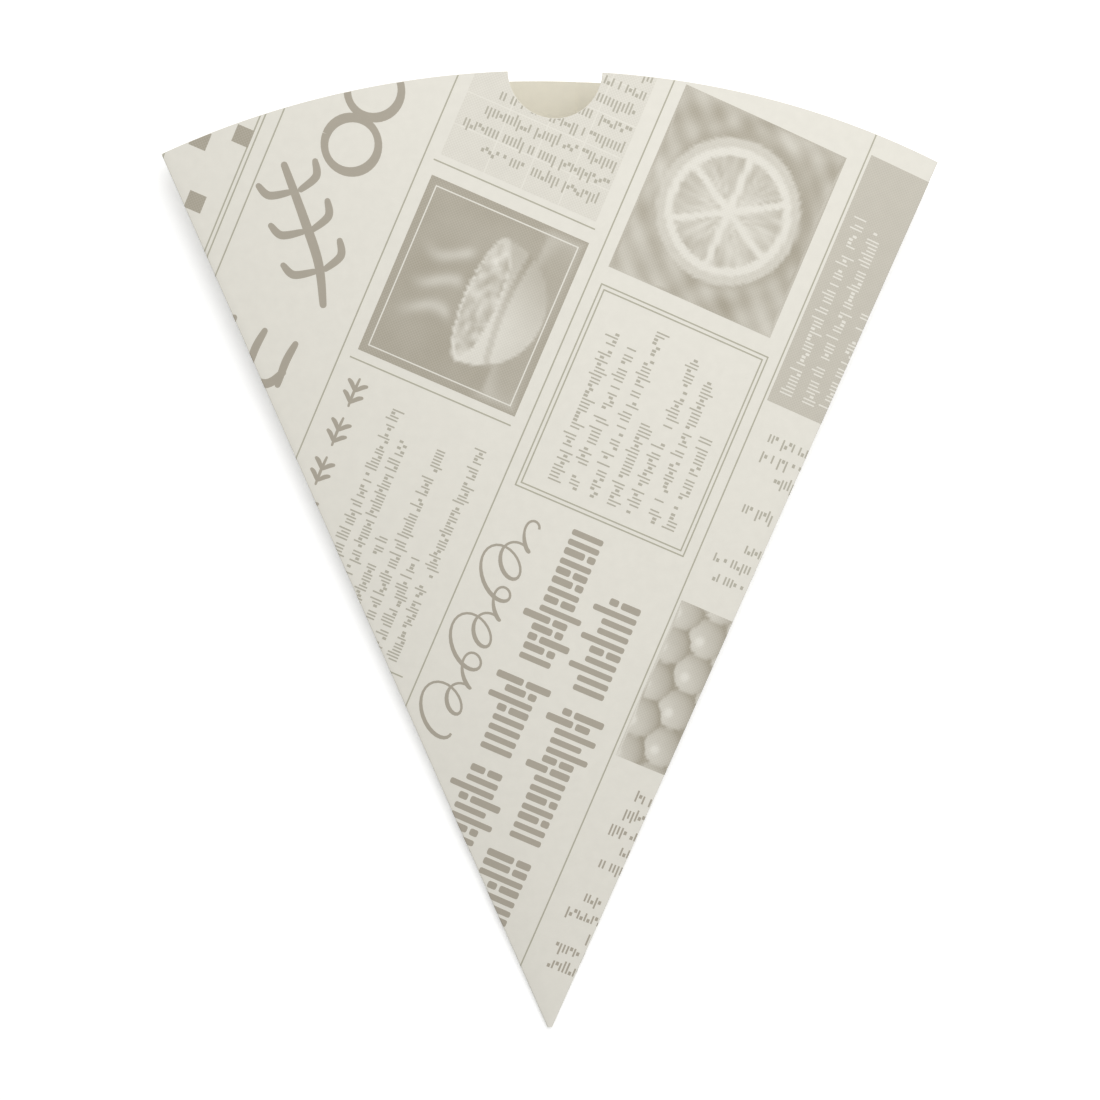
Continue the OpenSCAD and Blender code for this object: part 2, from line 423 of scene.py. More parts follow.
# %% [markdown]
# ## Cutting the print to the sheet
# Print runs off every edge of the sheet. A constrained Delaunay triangulation takes all the outlines
# at once, the sheet's, the ink's and the gaps in the ink, so no triangle crosses one. The middle of
# a triangle then tells whether it is ink. The rays and the lines along the creases are added as
# cuts, so that no triangle is too long to follow the bent card. The ink stops a tenth of a
# millimetre short of every cut edge.

# %% Cut shapes to the blank
INK_INSET = 0.1
SEAM_INSET = math.radians(0.03)
BARE_TIP = 0.008
RAYS, RAY_STEP = 16, math.radians(1.5)
SQUARE = 5
ink_columns = blank_columns(INK_INSET, HALF_LAP + SEAM_INSET, -HALF_LAP + SEAM_INSET)
OUTLINE = [tuple(end) for start, end in reversed(ink_columns)]
OUTLINE += [tuple(start.lerp(end, BARE_TIP)) for start, end in ink_columns]
print("the ink's outline has", len(OUTLINE), "corners")


def cut_lines(fine=1):
    """Lines that the card bends on: rays of each panel, the creases, and the lap's climb."""
    near, far = 2, SLANT + 2
    step, last = RAY_STEP / fine, RAYS * fine
    lines = [(polar(near, i * step), polar(far, i * step)) for i in range(1 - last, last)]
    for i in range(CREASE_STEPS + 1):
        q = crease_w * i / CREASE_STEPS
        column = (by_crease(q, near), by_crease(q, far))
        lines += [column, mirrored(column)]
    for i in range(1 - fine, last):
        column = (on_back_half(near, i * step), on_back_half(far, i * step))
        lines += [column, mirrored(column)]
    return lines + [(on_back_half(near, a), on_back_half(far, a)) for a in LAP_LINES]


def holds(polygon, p):
    """Whether a point lies in a polygon, by counting the sides to the right of it."""
    inside = False
    for (ax, ay), (bx, by) in zip(polygon, polygon[1:] + polygon[:1]):
        if (ay > p.y) != (by > p.y) and p.x < ax + (p.y - ay) * (bx - ax) / (by - ay):
            inside = not inside
    return inside


# %% Keep the triangles of the ink


def by_place(polygons):
    """Numbers of the polygons whose boxes reach into each square of a grid, to look few up later."""
    squares = {}
    for k, polygon in enumerate(polygons):
        xs, ys = [p[0] // SQUARE for p in polygon], [p[1] // SQUARE for p in polygon]
        for i in range(int(min(xs)), int(max(xs)) + 1):
            for j in range(int(min(ys)), int(max(ys)) + 1):
                squares.setdefault((i, j), []).append(k)
    return squares


def cut_to_blank(shapes, gaps=(), points=()):
    """Triangles of the shapes, without the gaps, inside the sheet. Points become corners too."""
    verts, edges = [], []
    for start, end in cut_lines():
        edges.append((len(verts), len(verts) + 1))
        verts += [start, end]
    polygons = [OUTLINE, *shapes, *gaps]
    for polygon in polygons:
        first, count = len(verts), len(polygon)
        edges += [(first + i, first + (i + 1) % count) for i in range(count)]
        verts += [Vector(p) for p in polygon]
    verts += [Vector(p) for p in points]
    out, _, triangles, _, _, _ = geometry.delaunay_2d_cdt(verts, edges, [], 0, 1e-5, False)
    squares, kept = by_place(polygons), []
    for triangle in triangles:
        centre = sum((out[i] for i in triangle), Vector((0, 0))) / 3
        nearby = squares.get((int(centre.x // SQUARE), int(centre.y // SQUARE)), [])
        inside = [k for k in nearby if holds(polygons[k], centre)]
        if len(inside) > 1 and inside[0] == 0 and max(inside) <= len(shapes):
            kept.append(tuple(triangle))
    return out, kept


# %% [markdown]
# ## Ink as a film
# Ink has almost no thickness. It is made as a closed film that starts inside the card and stands a
# fiftieth of a millimetre out of it, so its edges are crisp and it never fights the card's face
# for the same place. A second small tree thickens the flat print before the first one folds it.

# %% Thicken the ink
INK_BELOW = 0.01
INK_ABOVE = 0.02
ink_tree, given = new_tree("thicken the ink", ["Thickness"])
sheet = given.outputs["Geometry"]
raised = node(ink_tree, "GeometryNodeExtrudeMesh", sheet,
              named={"Offset": node(ink_tree, "ShaderNodeCombineXYZ", 0, 0, 1),
                     "Offset Scale": given.outputs["Thickness"], "Individual": False})
underside = node(ink_tree, "GeometryNodeFlipFaces", sheet)
shell = node(ink_tree, "GeometryNodeJoinGeometry")
ink_tree.links.new(raised.outputs["Mesh"], shell.inputs[0])
ink_tree.links.new(underside.outputs[0], shell.inputs[0])
welded = node(ink_tree, "GeometryNodeMergeByDistance", shell, named={"Distance": 1e-6})
real = node(ink_tree, "GeometryNodeRealizeInstances", welded)
node(ink_tree, "NodeGroupOutput", node(ink_tree, "GeometryNodeSetMaterial", real,
                                       named={"Material": given.outputs["Material"]}))
print("the ink tree has", len(ink_tree.nodes), "nodes")

# %% Print an ink


def print_ink(name, material, nodes_replaced, shapes, gaps=(), points=(), tone=None):
    """Cuts, thickens and folds one ink, and puts it in the scene."""
    out, triangles = cut_to_blank(shapes, gaps, points)
    used = sorted({i for triangle in triangles for i in triangle})
    number = {old: new for new, old in enumerate(used)}
    mesh = bpy.data.meshes.new(name)
    verts = [(out[i].x * MM, out[i].y * MM, (lift(out[i]) + CARD - INK_BELOW) * MM) for i in used]
    mesh.from_pydata(verts, [], [[number[i] for i in triangle] for triangle in triangles])
    if tone:
        values = mesh.attributes.new("tone", "FLOAT", "POINT").data
        for value, i in zip(values, used):
            value.value = tone(out[i])
    mesh.update()
    thick = run_tree(ink_tree, mesh, name, thickness=(INK_ABOVE + INK_BELOW) * MM, material=material)
    folded = run_tree(fold_tree, thick, name, material=material, **FOLD_SIZES)
    finish_piece(folded, name, nodes_replaced)


# %% [markdown]
# ## Materials
# Colours are written as sRGB hex values, as picked from swatches, and turned to linear by one function.
# The card is uncoated greaseproof card: matt, a little cloudy where its fibres lie thicker, and
# very slightly rough to the touch. The ink is thin and soaks in, so it keeps that surface and only
# changes its colour. Both are made by one function from a colour. Real fibres are a few hundredths
# of a millimetre wide, and a printer's dots a few tenths apart. Both are too fine to show here, so
# they are drawn as coarse as they need to be.

# %% Card and ink


def srgb(code):
    channels = [int(code[i:i + 2], 16) / 255 for i in (1, 3, 5)]
    return tuple(c / 12.92 if c <= 0.04045 else ((c + 0.055) / 1.055) ** 2.4 for c in channels) + (1,)


CLOUD_MM = 2.2
CLOUD_TONES = (0.982, 1.012)
FIBRE_MM = 0.35
FIBRE_HEIGHT_MM = 0.02
ROUGHNESS = (0.78, 0.9)
SCREEN_MM = 0.75
SCREEN_DEPTH = 0.1


def paper_material(name, colour, second_colour=None):
    """Matt fibrous card of one colour, or of two mixed by the mesh's own tone through a dot screen."""
    material = bpy.data.materials.new(name)
    material.use_nodes = True
    tree = material.node_tree
    tree.nodes.clear()
    where = node(tree, "ShaderNodeTexCoord").outputs["Object"]
    clouds = node(tree, "ShaderNodeTexNoise", where, named={"Scale": 1 / (CLOUD_MM * MM), "Detail": 3.0})
    fibres = node(tree, "ShaderNodeTexNoise", where, named={"Scale": 1 / (FIBRE_MM * MM), "Detail": 2.0})
    base = srgb(colour)
    if second_colour:
        turned = node(tree, TURN, where, named={"Angle": PAGE_TILT + math.pi / 4}, rotation_type="Z_AXIS")
        waves = node(tree, VECTOR, turned, named={"Scale": 2 * math.pi / (SCREEN_MM * MM)}, operation="SCALE")
        waves = node(tree, "ShaderNodeSeparateXYZ", node(tree, VECTOR, waves, operation="SINE"))
        dots = node(tree, MATH, waves.outputs[0], waves.outputs[1], operation="MULTIPLY")
        tone = node(tree, "ShaderNodeAttribute", attribute_name="tone").outputs["Fac"]
        tone = node(tree, MATH, dots, SCREEN_DEPTH, tone, operation="MULTIPLY_ADD", use_clamp=True)
        base = node(tree, "ShaderNodeMix", named={0: tone, 6: srgb(colour), 7: srgb(second_colour)},
                    data_type="RGBA").outputs[2]
    light = node(tree, "ShaderNodeMapRange", clouds.outputs[0], 0.3, 0.7, *CLOUD_TONES)
    base = node(tree, "ShaderNodeMix", named={0: 1.0, 6: base, 7: light}, data_type="RGBA",
                blend_type="MULTIPLY").outputs[2]
    rough = node(tree, "ShaderNodeMapRange", fibres.outputs[0], 0, 1, *ROUGHNESS)
    bump = node(tree, "ShaderNodeBump", named={"Height": fibres.outputs[0], "Strength": 0.12,
                                               "Distance": FIBRE_HEIGHT_MM * MM})
    shader = node(tree, "ShaderNodeBsdfPrincipled",
                  named={"Base Color": base, "Roughness": rough, "Normal": bump, "Specular IOR Level": 0.3})
    node(tree, "ShaderNodeOutputMaterial", shader)
    return material


card_material = paper_material("greaseproof card", "#e1ded4")
# The inner face: a little browner card, and darker still as painted shade for the inside of the pocket.
inner_tint_and_shade_material = paper_material("greaseproof card, inner face", "#ddd8c8")
bold_ink = paper_material("grey-beige ink, solid", "#aaa395")
text_ink = paper_material("grey-beige ink, small text", "#b3afa1")
rule_ink = paper_material("grey-beige ink, rules", "#b0ad9c")
picture_ink = paper_material("grey-beige ink, pictures", "#e1ded4", "#a39c8c")
print("materials:", [material.name for material in bpy.data.materials])

# %% [markdown]
# ## Fold the card
# The flat slab goes through the folding tree and becomes the cone. Edges sharper than the crease's
# own steps stay sharp, and everything else is shaded smooth. The inner face of such card isn't
# printed and is a little browner, and its colour is darker still as painted shade for the inside of
# the pocket. Its faces were made in turn with the outer ones, and the cut edges come last.

# %% Fold the card
folded_card = run_tree(fold_tree, flat_card(), "card_cone_sheet", material=card_material, **FOLD_SIZES)
folded_card.shade_smooth()
folded_card.set_sharp_from_angle(angle=math.radians(50))
folded_card.materials.append(inner_tint_and_shade_material)
face_count = 2 * ROWS * (len(card_columns) - 1)
for k, face in enumerate(folded_card.polygons):
    face.material_index = k % 2 if k < face_count else 0
finish_piece(folded_card, "folded_card", "card_cone")

# %% [markdown]
# ## Small text
# A column of small text is rows of upright marks, thin or thick, full height or half, with gaps
# where words would end and ragged lines. That has the grey and the grain of text, and no letters.
# A tree of nodes sets it from the column's size: lines of marks, less the ones that a chance drops.

# %% Set a column of text
RAGGED, PARAGRAPH_END, PARAGRAPH_CUT, WORD_GAP = 0.22, 0.14, 0.4, 0.16
SHORT_UNDER, TALL_OVER = 0.34, 0.76
SHORT_CUT, TALL_EXTRA, SHORT_THICKER = 0.56, 0.4, 0.7
text_tree, given = new_tree("set a column of text", ["Width", "Height", "Line pitch", "Mark pitch",
                                                     "Mark width", "Mark height", "Seed"])
size = given.outputs
RANDOM, COMBINE = "FunctionNodeRandomValue", "ShaderNodeCombineXYZ"
seeds = [node(text_tree, MATH, size["Seed"], 100 * k, operation="ADD") for k in range(6)]

# %% A mesh line of lines, and on each of its points a line of marks
lines = node(text_tree, MATH, size["Height"], size["Line pitch"], operation="DIVIDE")
lines = node(text_tree, MATH, lines, operation="FLOOR")
marks = node(text_tree, MATH, size["Width"], size["Mark pitch"], operation="DIVIDE")
marks = node(text_tree, MATH, marks, operation="FLOOR")
line_starts = node(text_tree, "GeometryNodeMeshLine",
                   named={"Count": lines, "Offset": node(text_tree, COMBINE, 0, size["Line pitch"], 0)})
one_line = node(text_tree, "GeometryNodeMeshLine",
                named={"Count": marks, "Offset": node(text_tree, COMBINE, size["Mark pitch"], 0, 0)})
places = node(text_tree, "GeometryNodeInstanceOnPoints", line_starts, named={"Instance": one_line})
places = node(text_tree, "GeometryNodeRealizeInstances", places)

# %% Drop the marks between words and past the ragged end of each line
here = node(text_tree, "ShaderNodeSeparateXYZ", node(text_tree, "GeometryNodeInputPosition"))
line_number = node(text_tree, MATH, here.outputs[1], size["Line pitch"], operation="DIVIDE")
line_number = node(text_tree, MATH, line_number, operation="ROUND")
short_by = node(text_tree, RANDOM, named={2: 0.0, 3: RAGGED, 7: line_number, 8: seeds[0]}).outputs[1]
last_line = node(text_tree, RANDOM, named={6: PARAGRAPH_END, 7: line_number, 8: seeds[1]},
                 data_type="BOOLEAN").outputs[3]
short_by = node(text_tree, MATH, last_line, PARAGRAPH_CUT, short_by, operation="MULTIPLY_ADD")
room = node(text_tree, MATH, 1, short_by, operation="SUBTRACT")
room = node(text_tree, MATH, room, size["Width"], operation="MULTIPLY")
past_end = node(text_tree, MATH, here.outputs[0], room, operation="GREATER_THAN")
gap = node(text_tree, RANDOM, named={6: WORD_GAP, 8: seeds[2]}, data_type="BOOLEAN").outputs[3]
dropped = node(text_tree, MATH, past_end, gap, operation="MAXIMUM")
kept_places = node(text_tree, "GeometryNodeDeleteGeometry", places, dropped, domain="POINT")

# %% Three kinds of mark: a thin full one, a tall one, and a thick short one that floats or sinks
quad = node(text_tree, "GeometryNodeMeshGrid", 1, 1, 2, 2)
kind = node(text_tree, RANDOM, named={2: 0.0, 3: 1.0, 8: seeds[3]}).outputs[1]
is_tall = node(text_tree, MATH, kind, TALL_OVER, operation="GREATER_THAN")
is_short = node(text_tree, MATH, kind, SHORT_UNDER, operation="LESS_THAN")
share = node(text_tree, MATH, is_tall, TALL_EXTRA, 1, operation="MULTIPLY_ADD")
share = node(text_tree, MATH, is_short, -SHORT_CUT, share, operation="MULTIPLY_ADD")
tall = node(text_tree, MATH, share, size["Mark height"], operation="MULTIPLY")
thick = node(text_tree, MATH, is_short, SHORT_THICKER, 1, operation="MULTIPLY_ADD")
thick = node(text_tree, MATH, thick, size["Mark width"], operation="MULTIPLY")
spare = node(text_tree, MATH, is_short, SHORT_CUT, operation="MULTIPLY")
spare = node(text_tree, MATH, spare, size["Mark height"], operation="MULTIPLY")
up_by = node(text_tree, RANDOM, named={4: 0, 5: 2, 8: seeds[4]}, data_type="INT").outputs[2]
up_by = node(text_tree, MATH, up_by, 0.5, operation="MULTIPLY")
up_by = node(text_tree, MATH, up_by, spare, operation="MULTIPLY")
sinks = node(text_tree, RANDOM, named={6: 0.3, 8: seeds[5]}, data_type="BOOLEAN").outputs[3]
sinks = node(text_tree, MATH, sinks, is_tall, operation="MULTIPLY")
below = node(text_tree, MATH, size["Mark height"], -TALL_EXTRA, operation="MULTIPLY")
sinks = node(text_tree, MATH, sinks, below, operation="MULTIPLY")
foot = node(text_tree, MATH, up_by, sinks, operation="ADD")
half_tall = node(text_tree, MATH, tall, 0.5, operation="MULTIPLY")
centre = node(text_tree, MATH, foot, half_tall, operation="ADD")
set_marks = node(text_tree, "GeometryNodeSetPosition", kept_places,
                 named={"Offset": node(text_tree, COMBINE, 0, centre, 0)})
set_marks = node(text_tree, "GeometryNodeInstanceOnPoints", set_marks,
                 named={"Instance": quad, "Scale": node(text_tree, COMBINE, thick, tall, 1)})
set_marks = node(text_tree, "GeometryNodeRealizeInstances", set_marks)
node(text_tree, "NodeGroupOutput", node(text_tree, "GeometryNodeSetMaterial", set_marks,
                                        named={"Material": size["Material"]}))
print("the text tree has", len(text_tree.nodes), "nodes")

# %% Columns of text as polygons
BODY = {"line_pitch": 4.2, "mark_pitch": 0.74, "mark_width": 0.34, "mark_height": 2.0}
BOXED = {"line_pitch": 4.8, "mark_pitch": 0.84, "mark_width": 0.34, "mark_height": 2.2}
TYPED = {"line_pitch": 4.2, "mark_pitch": 0.86, "mark_width": 0.4, "mark_height": 1.9}


def column_of_text(width, height, seed, style=BODY):
    """A column of text, its size in cells, as polygons in millimetres."""
    mesh = run_tree(text_tree, bpy.data.meshes.new("text"), "text", width=width * CELL,
                    height=height * CELL, seed=float(seed), material=text_ink, **style)
    foot = (style["line_pitch"] - style["mark_height"]) / 2
    return [[(mesh.vertices[i].co.x, mesh.vertices[i].co.y + foot) for i in face.vertices]
            for face in mesh.polygons]


def turned_column(width, height, seed, style=TYPED):
    """A column of text whose lines run across the page."""
    return [[(width * CELL - y, x) for x, y in polygon]
            for polygon in column_of_text(height, width, seed, style)]


COLUMNS = ((4.6, 12.7, 7, 7.3, BODY), (12.6, 12.7, 11.2, 5.6, BODY), (22.9, 3.5, 8.2, 7.6, BOXED),
           (12, 27.9, 11.8, 3.6, BODY), (22.2, 32.4, 7, 6.8, BODY), (14, -11, 13, 5, BODY),
           (28, -7.9, 12, 2, BODY))
TABLE = (34.4, 12.7, 7, 7.3)
text = []
for u, w, width, height, style in COLUMNS:
    text += moved_to(column_of_text(width, height, u * 7 + w, style), u, w)
table_text = moved_to(turned_column(7, 7.3, 3), *TABLE[:2])
text += table_text + moved_to(turned_column(8, 6.8, 8), 20.9, -4.8)
typed_text = moved_to(turned_column(10, 6.4, 6), 1.6, -4.8)
print("the text has", len(text), "marks")

# %% [markdown]
# ## Brush drawings
# The boldest things on the page are brush drawings: a fork, a sprig and two rings. A stroke is a
# chain of short four-sided pieces along a smooth curve, thickest in its middle, with round ends.

# %% Draw with a brush
BRUSH = 1.9
RING_STEPS = 40


def smooth_path(points, steps=8):
    """A smooth curve through the points."""
    pts = [Vector(p) for p in [points[0], *points, points[-1]]]
    path = []
    for a, b, c, d in zip(pts, pts[1:], pts[2:], pts[3:]):
        for i in range(steps):
            t = i / steps
            path.append(0.5 * (2 * b + (c - a) * t + (2 * a - 5 * b + 4 * c - d) * t ** 2
                               + (3 * b - a - 3 * c + d) * t ** 3))
    return path + [pts[-1]]


def ribbon(path, widths):
    """A chain of pieces along a path, as wide as the list says at each of its points."""
    sides = []
    for i, p in enumerate(path):
        along_path = path[min(i + 1, len(path) - 1)] - path[max(i - 1, 0)]
        out = Vector((-along_path.y, along_path.x)).normalized() * widths[i] / 2
        sides.append((p + out, p - out))
    return [[tuple(a), tuple(b), tuple(d), tuple(c)] for (a, b), (c, d) in zip(sides, sides[1:])]


def stroke(points, width=BRUSH):
    """One stroke of the brush through places given in cells."""
    path = smooth_path([(x * CELL, y * CELL) for x, y in points])
    last = len(path) - 1
    widths = [width * (0.82 + 0.3 * math.sin(math.pi * i / last)) for i in range(last + 1)]
    ends = [disc(path[k].x, path[k].y, widths[k] / 2, 14) for k in (0, last)]
    return ribbon(path, widths) + ends


def ring(radius):
    """A round stroke, its radius in cells."""
    turns = [2 * math.pi * i / RING_STEPS for i in range(RING_STEPS + 1)]
    widths = [BRUSH * (1 + 0.15 * math.sin(2 * a)) for a in turns]
    return ribbon([polar(radius * CELL, a) for a in turns], widths)


# %% A fork, a sprig and two rings
fork = stroke([(0, 2.3), (1.5, 2.5), (3.1, 2.4)]) + stroke([(3.9, 3.9), (3.1, 3.3), (3.1, 1.5), (3.9, 0.9)])
for y in (0.9, 2.4, 3.9):
    fork += stroke([(3.3, y), (4.4, y + 0.06), (5.3, y - 0.04)], 1.6)
sprig = stroke([(0, 0.4), (1.6, 1.3), (3.2, 2.7), (5, 4.4)])
for x in (1.2, 2.6, 4.0):
    y = 0.85 * x + 0.2
    sprig += stroke([(x, y + 0.1), (x - 0.5, y + 0.9), (x - 0.3, y + 1.5)], 1.6)
    sprig += stroke([(x + 0.3, y - 0.3), (x + 1.1, y - 0.7), (x + 1.7, y - 0.4)], 1.6)
bold = typed_text + moved_to(fork, 18.6, 21.8) + moved_to(sprig, 26, 21.8)
bold += moved_to(ring(1.2), 33, 23.8) + moved_to(ring(1.2), 35.6, 23.8)
print("with the typed column, the brush drawings have", len(bold), "shapes")

# %% [markdown]
# ## Headlines
# The bold lines are rows of heavy stems, some tall, some low and some cut in two, with gaps as
# between words. The line of loops is a trochoid, the curve that a point on a rolling wheel draws,
# thin where it climbs and thicker where it comes down, like a pen's. A row of leaves parts two
# columns.

# %% Bold lines and loops
dice = random.Random(4)
LOOP_STEPS = 26
STEM, HALF_STEM_EXTRA = 1.35, 0.25
STEM_PITCH = 0.46
CUT_SHARE, HALF_CUT_GAP = 0.3, 0.35


def headline(words):
    """Words given by where they start and how many pairs of stems they have."""
    shapes = []
    for start, count in words:
        for k in range(2 * count):
            x = (start + STEM_PITCH * k) * CELL
            foot = dice.choice((0, 0, 0, 0, 0, -0.5)) * CELL
            top = dice.choice((1.5, 1.5, 1.5, 2.1)) * CELL
            if dice.random() < CUT_SHARE:
                cut = dice.choice((0.45, 0.75, 1.0)) * CELL
                wide = STEM + HALF_STEM_EXTRA
                shapes += [rounded(x, foot, wide, cut - foot - HALF_CUT_GAP),
                           rounded(x, cut + HALF_CUT_GAP, wide, top - cut - HALF_CUT_GAP)]
            else:
                shapes.append(rounded(x, foot, STEM, top - foot))
    return shapes


def loops(length, height, turns):
    """A running line of loops, its size in cells."""
    path, widths = [], []
    steps = LOOP_STEPS * turns
    for i in range(steps + 1):
        a = 2 * math.pi * i / LOOP_STEPS
        size_here = 0.5 * height * (0.62 + 0.38 * math.sin(a / 3.1 + 0.6))
        x = length * i / steps - 0.9 * size_here * math.sin(a) + 0.35 * size_here * (1 - math.cos(a))
        path.append(Vector((x, size_here * (1 - math.cos(a)))) * CELL)
        widths.append(0.55 + 0.4 * max(0, math.sin(a)))
    return ribbon(path, widths)


# %% Set the bold lines, the loops and the leaves
bold += moved_to(headline([(0, 6), (6.2, 4), (10.6, 7)]), 4.4, 6.5)
bold += moved_to(headline([(0, 4), (4.4, 7), (11.6, 5)]), 3, 3.7)
bold += moved_to(headline([(0, 5), (5.4, 3), (9, 6)]), 10, -14.4)
bold += moved_to(loops(10, 1.9, 9), 10.6, 9.4)
leaves = stroke([(0, 0.4), (0.65, 0.42), (1.3, 0.4)], 0.6)
for x in (0.2, 0.75):
    leaves += stroke([(x, 0.42), (x + 0.25, 0.66), (x + 0.35, 0.82)], 0.9)
    leaves += stroke([(x, 0.38), (x + 0.25, 0.14), (x + 0.35, -0.02)], 0.9)
for k in range(6):
    bold += moved_to(leaves, 12.8 + 1.9 * k, 19)
print("the bold print has", len(bold), "shapes")

# %% [markdown]
# ## Rules and frames
# Thin rules part the columns, and two blocks stand in double frames.

# %% Rules
RULE = 0.32
FRAME_GAP = 1.0
rules = []
for w in (-5.6, 2.3, 11.7, 20.6, 27.1, 31.8):
    rules += moved_to([box(0, 0.15, 41 * CELL, RULE)], 2, w)
for u in (12, 24.3, 33.8):
    rules += moved_to([box(0.15, 0, RULE, 7.8 * CELL)], u, 12.4)
for u, w, width, height in ((22, 2.9, 9.8, 8.3), (24.7, 27.8, 8.2, 3.8)):
    for inset in (0, FRAME_GAP):
        wide, high = width * CELL - 2 * inset, height * CELL - 2 * inset
        rules += moved_to([box(inset, inset, wide, RULE), box(inset, inset + high - RULE, wide, RULE),
                           box(inset, inset, RULE, high), box(inset + wide - RULE, inset, RULE, high)], u, w)
print("there are", len(rules), "rules")


# %% [markdown]
# ## Pictures
# A picture is a field of ink whose tone is worked out point by point from a short formula: a bowl of
# soup, a slice of lemon, peas and a fish. The points lie two thirds of a millimetre apart, which is
# about as fine as the print. Tone 0 is bare card and tone 1 is the darkest ink. The formulas take
# a place in millimetres from the picture's middle.

# %% Blends and grain


def blend(low, high, x):
    """0 below low, 1 above high, and smooth between. It falls where low is the greater one."""
    t = min(max((x - low) / (high - low), 0), 1)
    return t * t * (3 - 2 * t)


def mix(a, b, share):
    return a + (b - a) * share


def grain(x, y, size_mm, layer=0):
    return noise.noise(Vector((x / size_mm, y / size_mm, layer * 7.3)))


# %% A bowl of soup


def bowl_tone(x, y):
    """A bowl on a table, under three wisps of steam."""
    tone = mix(0.86, 0.62, blend(-9.5, -10.5, y)) + 0.1 * grain(x, y, 9)
    for k in (-7, 0, 7):
        middle = k + 1.7 * math.sin(y / 2.8 + k)
        tone -= 0.42 * math.exp(-((x - middle) / 1.5) ** 2) * blend(2, 5, y) * blend(16, 9, y)
    tone = mix(tone, 0.92, blend(19, 13, math.hypot(x * 0.85, (y + 15) * 3)) * 0.6)
    body = blend(14.9, 14.3, math.hypot(x, y + 2)) * blend(-1.6, -2.4, y)
    shade = 0.12 + 0.5 * blend(-6, 15, x) + 0.18 * blend(-6, -16, y)
    shade += 0.3 * blend(0.9, 0.5, abs(y + 7.2 + 0.008 * x * x))
    tone = mix(tone, shade, body)
    rim = math.hypot(x / 14.7, (y + 2) / 3.9)
    tone = mix(tone, 0.08 + 0.25 * blend(0, 14, x), blend(1.03, 0.98, rim))
    food = 0.42 + 0.5 * grain(x, y * 1.8, 2.6, 1) + 0.18 * grain(x, y, 1.1, 2)
    return mix(tone, food, blend(0.93, 0.88, rim))


# %% A slice of lemon


def lemon_tone(x, y):
    """A slice of lemon among leaves."""
    leaves = 0.62 + 0.4 * grain(x + 0.4 * y, y, 6.5, 3) + 0.1 * math.sin((x - y) / 1.1)
    r, a = math.hypot(x, y), math.atan2(y, x)
    edge = 16.8 + 0.15 * grain(x, y, 3)
    shadow = blend(19.5, 16, math.hypot(x - 1.2, y + 1.4))
    tone = mix(leaves, 0.95, 0.7 * shadow)
    tone = mix(tone, 0.34 + 0.06 * grain(x, y, 1.0, 4), blend(edge, edge - 0.6, r))
    tone = mix(tone, 0.04, blend(14.6, 14.1, r))
    wedge = abs((a / (math.pi / 3)) % 1 - 0.5)
    wall = (0.5 - wedge) * math.pi / 3 * r
    juice = 0.36 + 0.3 * grain(r / 4.5, a * 9, 1.0, 5) + 0.14 * blend(5, 13, r)
    flesh = blend(0.55, 1.0, wall) * blend(12.7, 12.2, r) * blend(0.9, 1.7, r)
    return mix(tone, juice, flesh)


# %% Peas


def pea_tone(x, y):
    """Peas in rows, each a lit ball."""
    tone = 0.95 + 0.08 * grain(x, y, 2, 6)
    for row in range(-2, 3):
        for step in range(-3, 4):
            cx = (step + 0.5 * (row % 2)) * 8.6 + 1.2 * grain(step * 9, row * 9, 4, 7)
            cy = row * 7.6 + 1.2 * grain(row * 9, step * 9, 4, 8)
            r = math.hypot(x - cx, y - cy) / 4.75
            if r < 1:
                lit = (cx - x) * 0.45 + (y - cy) * 0.6
                ball = 0.45 - 0.11 * lit + 0.3 * r ** 4
                shine = blend(0.4, 0.1, math.hypot(x - cx + 1.3, y - cy - 1.6) / 4)
                tone = mix(tone, ball - 0.3 * shine, blend(1, 0.93, r))
    return tone


# %% A fish


def fish_tone(x, y):
    """A fish on a board."""
    tone = 0.66 + 0.1 * math.sin(y / 1.3 + 0.6 * math.sin(x / 9)) + 0.12 * grain(x * 0.3, y, 2, 9)
    half = 7.2 * (1 - ((x + 3) / 15.5) ** 2)
    body = blend(-0.3, 0.4, half - abs(y))
    tail = blend(-0.3, 0.4, 0.62 * (x - 9.5) + 0.8 - abs(y)) * blend(19.4, 18.6, x + 0.16 * abs(y))
    scales = 0.25 + 0.16 * math.sin(x * 1.7) * math.sin(y * 1.9) + 0.3 * blend(0.2, 6, -y)
    tone = mix(tone, scales, body)
    tone = mix(tone, 0.4 + 0.2 * math.sin(y * 2.2), tail * (1 - body))
    gill = blend(0.7, 0.2, abs(math.hypot(x + 18, y) - 8.5)) * body
    tone = mix(tone, 0.8, 0.7 * gill)
    return mix(tone, 1, blend(1.3, 0.9, math.hypot(x + 13.8, y - 1)) * body)


# %% Where the pictures and tints stand
POINT_GAP = 0.66
BORDER = 1.7
LINE, LINE_CLEAR = 0.3, 0.2
PICTURES = ((24.8, 12.4, 8.4, 7.6, bowl_tone, BORDER), (32.6, 3.2, 8.8, 8, lemon_tone, 0),
            (12.6, -4.6, 7.6, 6.8, pea_tone, 0), (12.6, 32.4, 8.8, 6.4, fish_tone, BORDER),
            (28, -15.6, 8.4, 7.6, bowl_tone, BORDER))
BAND = (30, -3.2, 12, 5.4)
SQUARES = (24.9, 28)
EDGE = 0.01
BAND_TONE, SQUARE_TONE, BORDER_TONE, TABLE_TONE = 0.55, 0.9, 0.88, 0.14
fields, pale = [], []
for u, w, width, height, _, border in PICTURES:
    wide, high = width * CELL, height * CELL
    fields += moved_to([box(0, 0, wide, high)], u, w)
    if border:
        inner_wide, inner_high = wide - 2 * border, high - 2 * border
        pale += moved_to([box(border, border, inner_wide, LINE),
                          box(border, high - border - LINE, inner_wide, LINE),
                          box(border, border, LINE, inner_high),
                          box(wide - border - LINE, border, LINE, inner_high)], u, w)
u, w, width, height = TABLE
